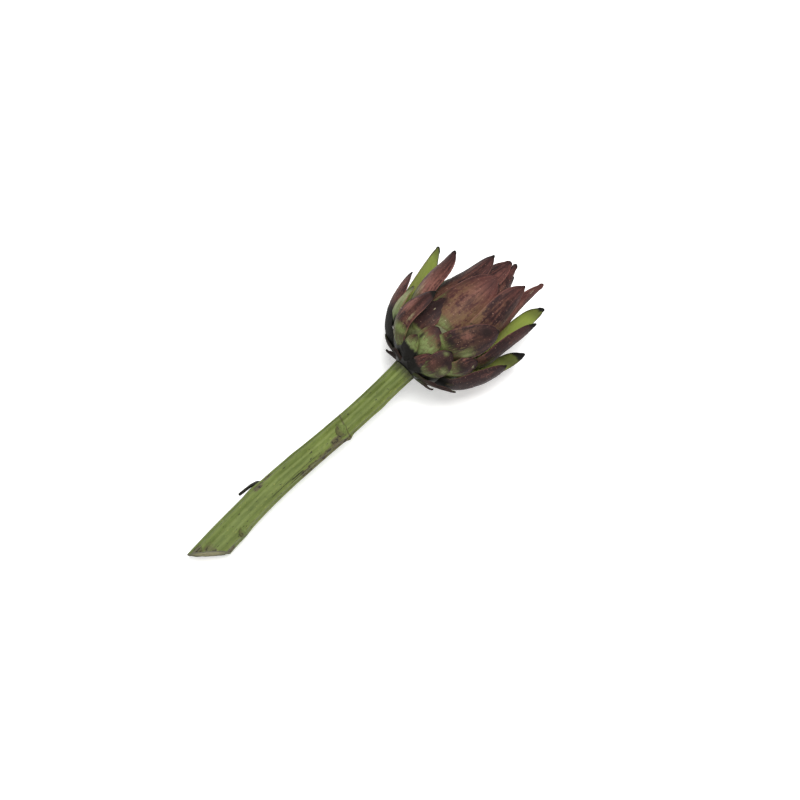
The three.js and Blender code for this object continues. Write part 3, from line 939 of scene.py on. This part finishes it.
def numbered(first_index, end_index):
    return [blade for index, blade in blades.items() if first_index <= index < end_index]


outer_bracts = grow_blades("outer_bracts", numbered(BASAL_BRACTS, 25), bract_skin)
inner_bracts = grow_blades("inner_bracts", numbered(25, max(blades) + 1), bract_skin)
basal_bracts = grow_blades(
    "basal_bracts", numbered(-NECK_LEAFLETS, BASAL_BRACTS), bract_skin, rings=34, around=25, keel=0.3
)

# %% [markdown]
# Between the bracts' roots a little of the bud itself shows. It is a turned shape, so its profile is spun
# round the head's axis. A smooth curve through the profile's points keeps it from looking faceted.

# %% Bud
BUD_STEPS = 6
BUD_SIDES = 72
BUD_INSET = 0.2
FLESH_DARK = colour(58, 60, 34)
FLESH_PALE = colour(88, 92, 56)


def between(p, q, r, s, t):
    """A value of a Catmull-Rom curve, from q to r as t goes from 0 to 1."""
    bends = (2 * p - 5 * q + 4 * r - s) * t**2 + (3 * q - p - 3 * r + s) * t**3
    return 0.5 * (2 * q + (r - p) * t + bends)


def smooth_profile(knots, steps):
    """Points of a smooth curve through the knots."""
    ends = [knots[0], *knots, knots[-1]]
    made = []
    for four in zip(ends, ends[1:], ends[2:], ends[3:]):
        for step in range(steps):
            made.append(tuple(between(*values, step / steps) for values in zip(*four)))
    return [*made, knots[-1]]


profile = smooth_profile(BUD, BUD_STEPS)
vertices = [tuple(head_point(0, 0, 0) * MM)]
for axial, radius in profile[:-1]:
    for side_index in range(BUD_SIDES):
        vertices.append(tuple(head_point(axial, radius - BUD_INSET, 360 * side_index / BUD_SIDES) * MM))
vertices.append(tuple(head_point(profile[-1][0], 0, 0) * MM))
faces = []
for side_index in range(BUD_SIDES):
    here, there = 1 + side_index, 1 + (side_index + 1) % BUD_SIDES
    faces.append((0, here, there))
    for ring in range(len(profile) - 2):
        low, high = ring * BUD_SIDES, (ring + 1) * BUD_SIDES
        faces.append((here + low, here + high, there + high, there + low))
    top = (len(profile) - 2) * BUD_SIDES
    faces.append((len(vertices) - 1, there + top, here + top))
bud_mesh = bpy.data.meshes.new("bud")
bud_mesh.from_pydata(vertices, [], faces)
bud_mesh.shade_smooth()
bud = bpy.data.objects.new("bud", bud_mesh)
bpy.context.collection.objects.link(bud)

bud_skin, tree, shader = looks("bud skin", 0.6)
spot = Field(tree.nodes.new("ShaderNodeTexCoord").outputs["Object"])
patches = noise(spot, 160, detail=3.0)
flesh = blend(patches.ease(0.35, 0.65), FLESH_DARK, FLESH_PALE)
flesh = blend(noise(spot, 700).ease(0.55, 0.7) * 0.5, flesh, DRY_BROWN)
from_neck = spot.parts()[0] - NECK.x * MM
# Towards the neck the bud goes black: dried skin, and painted shade of the hollow under the head.
flesh = blend((1.0 - from_neck / 0.02 + (patches - 0.5) * 0.6).ease(0.2, 0.8), flesh, DRY_AND_SHADE_BLACK)
tree.links.new(flesh.socket, shader.inputs["Base Color"])
raised(shader, patches, 0.0005)
bud_mesh.materials.append(bud_skin)
print("bud has", len(faces), "faces")

# %% [markdown]
# The stem is a thick ribbed stalk that swells towards its base. It could be a curve with a round profile,
# but its ribs, its flare under the head, the swellings where leaves were cut off and the slanted knife cut
# are all easier to give as one formula over a grid. The grid's first rows close the stem at the neck and
# its last rows make the cut face, so the stem is one closed body. At the heel of the cut it is pressed flat
# against the surface.

# %% The tree that grows the stem
STEM_LENGTH = 185 * MM
STEM_DROOP = 2.9 * MM
STEM_BOW = 1.6 * MM
STEM_SWEEP = 2 * MM
STEM_TOP_RADIUS = 8.1 * MM
STEM_END_RADIUS = 10.9 * MM
NECK_FLARE = 0.7 * MM
STEM_RIBS, FINE_RIBS = 12, 29
CUT_SLANT = math.radians(47)
NECK_ROWS, CUT_ROWS = 0.02, 0.05
NODE_NUB_PLACE = 60.5 * MM
NODE_NUB_ANGLE = math.radians(188)
NODE_NUB_HEIGHT = 1.4 * MM
NODE_NUB_REACH = 2.5 * MM
SCAR_REACH = 6 * MM
# For each stub: distance from the neck, angle round the stem from the top towards +Y, width, reach back and
# height.
LEAF_STUBS = [
    (30, 200, 10, 2, 2),
    (63, -20, 10, 3, 1.6),
    (98, 150, 10, 2, 1.8),
    (134, 76, 5, 9, 3.2),
    (160, -60, 10, 2, 1.4),
]

stem_tree, first, last = new_tree(
    "Stem",
    {
        "Rings": "NodeSocketInt",
        "Points around": "NodeSocketInt",
        "Rib height": "NodeSocketFloat",
        "Scar height": "NodeSocketFloat",
        "Skin": "NodeSocketMaterial",
        "Cut": "NodeSocketMaterial",
    },
)
tree = stem_tree
mesh, lengthwise, round_section = unit_grid(tree, first.outputs["Rings"], first.outputs["Points around"])
mesh = store(tree, mesh, "lengthwise", lengthwise)
mesh = store(tree, mesh, "round", round_section * (2 * math.pi))
lengthwise, around = attribute(tree, "lengthwise"), attribute(tree, "round")

fill = (lengthwise / NECK_ROWS).least(1.0).least((1.0 - lengthwise) / CUT_ROWS)
run = ((lengthwise - NECK_ROWS) / (1.0 - NECK_ROWS - CUT_ROWS)).most(0.0).least(1.0)
rough_radius = STEM_TOP_RADIUS + (STEM_END_RADIUS - STEM_TOP_RADIUS) * run * run
slant = math.tan(CUT_SLANT) / (STEM_LENGTH + math.pi * (2 * STEM_BOW + STEM_SWEEP) * math.tan(CUT_SLANT))
share = 0.0016 + run * (0.9984 + rough_radius * fill * around.cos() * slant)

ring_place = joined(tree, around.cos() * 0.01, around.sin() * 0.01, share * STEM_LENGTH * 0.12)
uneven = noise(ring_place, 130, detail=2.0) - 0.5
radius = STEM_TOP_RADIUS + (STEM_END_RADIUS - STEM_TOP_RADIUS) * share * share
radius = radius + NECK_FLARE * (share / -0.03).exp()
ribbing = (around * STEM_RIBS + uneven * 2.5).cos()
fine_ribs = (around * FINE_RIBS + uneven * 4.0).cos()
radius = radius + Field(first.outputs["Rib height"]) * (ribbing + fine_ribs * 0.3) + uneven * (0.9 * MM)
nub_gap = share * STEM_LENGTH - NODE_NUB_PLACE
nub_facing = ((around - NODE_NUB_ANGLE).cos() - 1.0) * 30.0
radius = radius + (nub_gap * nub_gap / -(NODE_NUB_REACH**2)).exp() * nub_facing.exp() * NODE_NUB_HEIGHT
for stub_distance, stub_angle, stub_width, _, _ in LEAF_STUBS:
    gap = share * STEM_LENGTH - stub_distance * MM
    near = (gap * gap / -(SCAR_REACH**2)).exp()
    facing = ((around - math.radians(90 - stub_angle)).cos() - 1.0) * (2.2 * 9 / stub_width)
    radius = radius + Field(first.outputs["Scar height"]) * near * facing.exp()

bow = (share * math.pi).sin() * STEM_SWEEP - (share * (2 * math.pi)).sin() * STEM_BOW
down = share * (-STEM_LENGTH * math.tan(HEAD_RISE)) - share * share * STEM_DROOP
middle = joined(tree, share * -STEM_LENGTH + NECK.x * MM, bow + NECK.y * MM, down + NECK.z * MM)
sweep_slope = (share * math.pi).cos() * (math.pi * STEM_SWEEP)
bow_slope = (share * (2 * math.pi)).cos() * (2 * math.pi * STEM_BOW)
down_slope = share * (-2 * STEM_DROOP) - STEM_LENGTH * math.tan(HEAD_RISE)
heading = joined(tree, -STEM_LENGTH, sweep_slope - bow_slope, down_slope).unit()
across_stem = (joined(tree, 0.0, 1.0, 0.0) - heading * heading.parts()[1]).unit()
up_stem = across_stem.cross(heading)
out = radius * fill
position = middle + across_stem * (around.cos() * out) + up_stem * (around.sin() * out)
x, y, z = position.parts()
position = joined(tree, x, y, z.most(0.0))

mesh = store(tree, mesh, "ribbing", ribbing)
mesh = store(tree, mesh, "towards_y", around.cos())
mesh = store(tree, mesh, "towards_top", around.sin())
mesh = store(tree, mesh, "fill", fill)
mesh = store(tree, mesh, "share", share)
close_and_finish(tree, mesh, position, first.outputs["Skin"], last)
cut_paint = tree.nodes.new("GeometryNodeSetMaterial")
skin_paint = last.inputs["Geometry"].links[0].from_node
tree.links.new(skin_paint.outputs["Geometry"], cut_paint.inputs["Geometry"])
tree.links.new(first.outputs["Cut"], cut_paint.inputs["Material"])
tree.links.new(lengthwise.number("GREATER_THAN", 1.0 - CUT_ROWS).socket, cut_paint.inputs["Selection"])
tree.links.new(cut_paint.outputs["Geometry"], last.inputs["Geometry"])
print("stem tree has", len(tree.nodes), "nodes")

# %% [markdown]
# The stem's skin is a yellow green, paler on the ribs than in the grooves, with short dark flecks stretched
# along it. Leaves broke off it in places and left brown bruises, and one crack has dried black. Each mark
# has its place on the stem, given as its share of the length from the neck and its angle round the stem,
# and noise breaks up its edge. The cut face is pale, fibrous pith with a greener ring under the skin, and
# it has begun to brown.

# %% Stem skin and cut face
# Share of the length, angle round from +Y over the top, half length as a share, half width in degrees, and
# strength.
BRUISES = [
    (0.372, 146, 0.022, 38, 1.0),
    (0.345, 182, 0.02, 26, 1.0),
    (0.42, 158, 0.04, 26, 0.7),
    (0.5, 164, 0.06, 28, 0.7),
    (0.65, 46, 0.02, 12, 0.9),
    (0.7, 54, 0.02, 17, 1.0),
    (0.935, 168, 0.018, 18, 1.0),
    (0.985, 105, 0.018, 40, 0.7),
    (1.02, 60, 0.02, 24, 0.9),
]
CRACKS = [
    (0.567, 139, 0.03, 3.6),
    (0.52, 127, 0.07, 1.7),
    (0.56, 147, 0.05, 1.5),
    (0.64, 134, 0.05, 1.6),
    (0.44, 150, 0.04, 1.6),
]
NODE_SHARE = 0.31
GROOVE_GREEN = colour(74, 86, 30)
STEM_GREEN = colour(98, 111, 50)
LOWER_GREEN = colour(90, 103, 52)
RIB_GREEN = colour(112, 122, 66)
FIBRE_GREEN = colour(66, 78, 32)
BAND_GREEN = colour(118, 126, 68)
MOTTLED_GREEN = colour(66, 80, 34)
SIDE_BROWN = colour(84, 80, 44)
YELLOW_FLECK = colour(132, 134, 66)
DARK_FLECK = colour(36, 34, 18)
BRUISE_BROWN = colour(76, 64, 50)
BRUISE_DARK = colour(34, 27, 21)
CRACK_BLACK = colour(28, 24, 14)
NECK_SHADE = colour(38, 38, 20)
NODE_BROWN = colour(54, 46, 24)

stem_skin, tree, shader = looks("stem skin", 0.6, specular=0.25)
spot = Field(tree.nodes.new("ShaderNodeTexCoord").outputs["Object"])
ribbing, share = painted(tree, "ribbing"), painted(tree, "share")
angle = painted(tree, "towards_top").number("ARCTAN2", painted(tree, "towards_y"))
x, y, z = spot.parts()
drawn = joined(tree, x * 0.06, y, z)
fibres = noise(drawn, 900, detail=4.0)
bands = noise(drawn, 220, detail=2.0)
clouds = noise(joined(tree, x * 0.4, y, z), 110, detail=3.0)
mottle = noise(joined(tree, x * 0.6, y, z), 520, detail=4.0, roughness=0.65)
flecks = noise(joined(tree, x * 0.4, y, z), 700, detail=1.0)
yellow_flecks = noise(joined(tree, x * 0.4 + 1.0, y, z), 900, detail=1.0)


def mark(middle, degrees_round, half_length, half_width):
    """1 in the middle of a mark on the stem, and 0 well outside it."""
    off = (share + (mottle - 0.5) * 0.03 - middle) / half_length
    facing = (angle + (mottle - 0.5) * 0.12 - math.radians(degrees_round)).cos()
    limit = math.cos(math.radians(half_width))
    return facing.ease(limit, mix(limit, 1, 0.7)) * (off * off * -1.0).exp()


green_skin = blend(clouds.ease(0.35, 0.65), GROOVE_GREEN, STEM_GREEN)
green_skin = blend(share.ease(0.35, 0.8) * 0.55, green_skin, LOWER_GREEN)
green_skin = blend(ribbing.ease(-0.6, 1.0) * 0.4, green_skin, RIB_GREEN)
green_skin = blend(fibres.ease(0.45, 0.75) * 0.35, green_skin, FIBRE_GREEN)
green_skin = blend(bands.ease(0.52, 0.76) * 0.3, green_skin, BAND_GREEN)
green_skin = blend(mottle.ease(0.5, 0.7) * 0.4, green_skin, MOTTLED_GREEN)
green_skin = blend(angle.ease(2.0, 3.1) * mottle.ease(0.3, 0.7) * 0.5, green_skin, SIDE_BROWN)
green_skin = blend(yellow_flecks.ease(0.68, 0.74) * 0.5, green_skin, YELLOW_FLECK)
for middle, degrees_round, half_length, half_width, strength in BRUISES:
    bruise = mark(middle, degrees_round, half_length, half_width)
    stained = (bruise * (0.4 + mottle * 1.3)).ease(0.15, 0.7) * strength
    green_skin = blend(stained * 0.75, green_skin, BRUISE_BROWN)
    green_skin = blend(stained * mottle.ease(0.5, 0.6), green_skin, BRUISE_DARK)
for middle, degrees_round, half_length, half_width in CRACKS:
    crack = mark(middle, degrees_round, half_length, half_width)
    green_skin = blend(crack.ease(0.2, 0.6) * 0.9, green_skin, CRACK_BLACK)
# Painted shade: the skin darkens towards the neck, for the shadow under the head.
neck_shade = (1.0 - share / 0.05 + (mottle - 0.5) * 0.8).ease(0.0, 1.0)
green_skin = blend(neck_shade * 0.9, green_skin, NECK_SHADE)
node_line = (share + angle.cos() * 0.012 + (mottle - 0.5) * 0.012 - NODE_SHARE).abs()
green_skin = blend((1.0 - node_line / 0.005).most(0.0) * 0.8, green_skin, NODE_BROWN)
green_skin = blend(flecks.ease(0.7, 0.75) * 0.85, green_skin, DARK_FLECK)
tree.links.new(green_skin.socket, shader.inputs["Base Color"])
raised(shader, fibres * 0.5 + bands * 0.3 + mottle * 0.2, 0.0005)

PITH = colour(122, 118, 78)
RIND = colour(70, 72, 38)
PORE_BROWN = colour(92, 78, 48)
CUT_BROWN = colour(64, 50, 32)
cut_flesh, tree, shader = looks("cut flesh", 0.65, specular=0.3)
fill = painted(tree, "fill")
spot = Field(tree.nodes.new("ShaderNodeTexCoord").outputs["Object"])
pores = noise(spot, 1500, detail=2.0)
patches = noise(spot, 260, detail=3.0)
flesh = blend(fill.ease(0.5, 0.85), PITH, RIND)
flesh = blend(pores.ease(0.5, 0.7) * 0.5, flesh, PORE_BROWN)
flesh = blend(patches.ease(0.5, 0.7) * 0.6, flesh, CUT_BROWN)
tree.links.new(flesh.socket, shader.inputs["Base Color"])
raised(shader, pores, 0.0004)

stem = made_by(
    stem_tree,
    bpy.data.meshes.new("stem_seed"),
    "ribbed_stem",
    **{
        "Rings": 300,
        "Points around": 121,
        "Rib height": 0.32 * MM,
        "Scar height": 0.9 * MM,
        "Skin": stem_skin,
        "Cut": cut_flesh,
    },
)
stem.data.set_sharp_from_angle(angle=math.radians(50))

# %% [markdown]
# Where leaves were cut from the stem, their bases are left as low scales, and one dried stub still stands
# off it. They are blades too, so the same tree grows them. Each starts inside the stem and points back
# along it.

# %% Leaf scars and stubs
SCAR_GREEN = colour(76, 88, 38)
SCAR_PALE = colour(98, 110, 58)
SCAR_BROWN = colour(72, 62, 40)
SCAR_DARK = colour(34, 27, 20)
scar_skin, tree, shader = looks("leaf scar", 0.65, specular=0.2)
along, across = painted(tree, "along"), painted(tree, "across")
blade_mm = painted(tree, "blade_mm", "Vector")
dry = painted(tree, "dry")
mottle = noise(blade_mm, 500, detail=4.0, roughness=0.65)
scar = blend(mottle.ease(0.35, 0.65), SCAR_GREEN, SCAR_PALE)
browned = (along + across * across * 0.2 + (mottle - 0.5) * 0.5).ease(0.55, 0.85)
scar = blend(browned * 0.6, scar, SCAR_BROWN)
scar = blend(browned * mottle.ease(0.52, 0.62) * 0.7, scar, SCAR_DARK)
scar = blend((dry * (1.2 - mottle * 0.5)).least(1.0), scar, DRY_AND_SHADE_BLACK)
tree.links.new(scar.socket, shader.inputs["Base Color"])
raised(shader, mottle, 0.0008, 0.8)


def stem_middle(share):
    """The stem's middle line in millimetres, from the neck at 0 to the cut at 1."""
    length = STEM_LENGTH / MM
    return NECK + Vector(
        (
            -length * share,
            (STEM_SWEEP * math.sin(math.pi * share) - STEM_BOW * math.sin(2 * math.pi * share)) / MM,
            -length * share * math.tan(HEAD_RISE) - STEM_DROOP / MM * share**2,
        )
    )


# The stubs' seeds lie past every bract's, so that no bract's patch falls on a stub.
STUB_SEEDS = 100


def stub_blade(order, distance, angle, width, reach, stand):
    share = distance * MM / STEM_LENGTH
    tangent = (stem_middle(share + 0.01) - stem_middle(share - 0.01)).normalized()
    side = (Vector((0, 1, 0)) - tangent * tangent.y).normalized()
    up = side.cross(tangent)
    out = up * math.cos(math.radians(angle)) + side * math.sin(math.radians(angle))
    radius = mix(STEM_TOP_RADIUS, STEM_END_RADIUS, share**2) / MM

    def at(back, height):
        return stem_middle(share) + tangent * back + out * (radius + height)

    dried = reach > width
    run = [at(-8, -1.5), at(-6, 2), at(1, 2.2), at(reach, stand)] if dried else None
    return {
        "points": run or [at(-9, -2.6), at(-4, 0.4), at(-1, stand), at(reach, stand)],
        "sides": (out.cross(tangent), out.cross(tangent)),
        "width": width,
        "thickness": (2.6, 2.2) if dried else (1.6, 1.2),
        "cups": (radius, radius, radius),
        "roll": 0,
        "seed": STUB_SEEDS + 0.7 * order,
        "hook": 0,
        "swerve": 0,
        "nub": 2.4,
        **ORDINARY,
        "dry": 1 if dried else 0,
    }


stubs = [stub_blade(order, *stub) for order, stub in enumerate(LEAF_STUBS)]
leaf_stubs = grow_blades("leaf_stubs", stubs, scar_skin, rings=30, around=25, keel=0.0, uneven=0.6)

# %% [markdown]
# The pieces are told which body they move with, and the solids that they stand for are hidden. The solids
# themselves stay in the model for collision.

# %% Join the pieces to the model
for piece in (outer_bracts, inner_bracts, basal_bracts, bud):
    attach(piece, "root")
    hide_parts("head")
for piece in (stem, leaf_stubs):
    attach(piece, "root")
    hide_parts("stem")
print("six pieces stand for two solids")

# %% [markdown]
# A pale surface and soft light from above, as in a studio: one large lamp high over the tips of the head,
# which lets the sides of the bracts that look down and towards the stem fall into shade, a weaker one to
# fill the shadows, and an even white sky. The surface glows a very little, so that the shadow on it stays
# faint. Blender's usual view softens strong colours towards grey, as film does. The plain view keeps them
# as deep as they were picked.

# %% Floor and light
FLOOR_REACH = 3
PAPER_WHITE = colour(243, 243, 242)
PAPER_BRIGHT = colour(246, 246, 245)
LAMPS_AIM = Vector((0, 0, 0.03))
corners = [(x * FLOOR_REACH, y * FLOOR_REACH, 0) for x, y in ((-1, -1), (1, -1), (1, 1), (-1, 1))]
floor_mesh = bpy.data.meshes.new("floor")
floor_mesh.from_pydata(corners, [], [(0, 1, 2, 3)])
floor = bpy.data.objects.new("floor", floor_mesh)
bpy.context.collection.objects.link(floor)
paper, tree, shader = looks("white paper", 0.85, specular=0.1)
grain = noise(Field(tree.nodes.new("ShaderNodeTexCoord").outputs["Object"]), 40)
tree.links.new(blend(grain, PAPER_WHITE, PAPER_BRIGHT).socket, shader.inputs["Base Color"])
shader.inputs["Emission Color"].default_value = (1, 1, 1, 1)
shader.inputs["Emission Strength"].default_value = 0.3
floor_mesh.materials.append(paper)


def lamp(name, place, size, energy):
    """A square lamp, with its place and size in metres and its power in watts."""
    data = bpy.data.lights.new(name, "AREA")
    data.shape, data.size, data.energy = "SQUARE", size, energy
    made = bpy.data.objects.new(name, data)
    bpy.context.collection.objects.link(made)
    made.location = place
    made.rotation_euler = (LAMPS_AIM - Vector(place)).to_track_quat("-Z", "Y").to_euler()


lamp("key", (0.2, -0.1, 1.25), 0.6, 17)
lamp("fill", (-0.7, -0.6, 0.9), 0.9, 2.5)
sky = bpy.data.worlds.new("sky")
sky.use_nodes = True
background = sky.node_tree.nodes["Background"]
background.inputs["Color"].default_value = (1, 1, 1, 1)
background.inputs["Strength"].default_value = 0.52
bpy.context.scene.world = sky
bpy.context.scene.view_settings.view_transform = "Standard"
print("two lamps and a white sky")

# %% [markdown]
# Last, the scene is brought up to date.

bpy.context.view_layer.update()
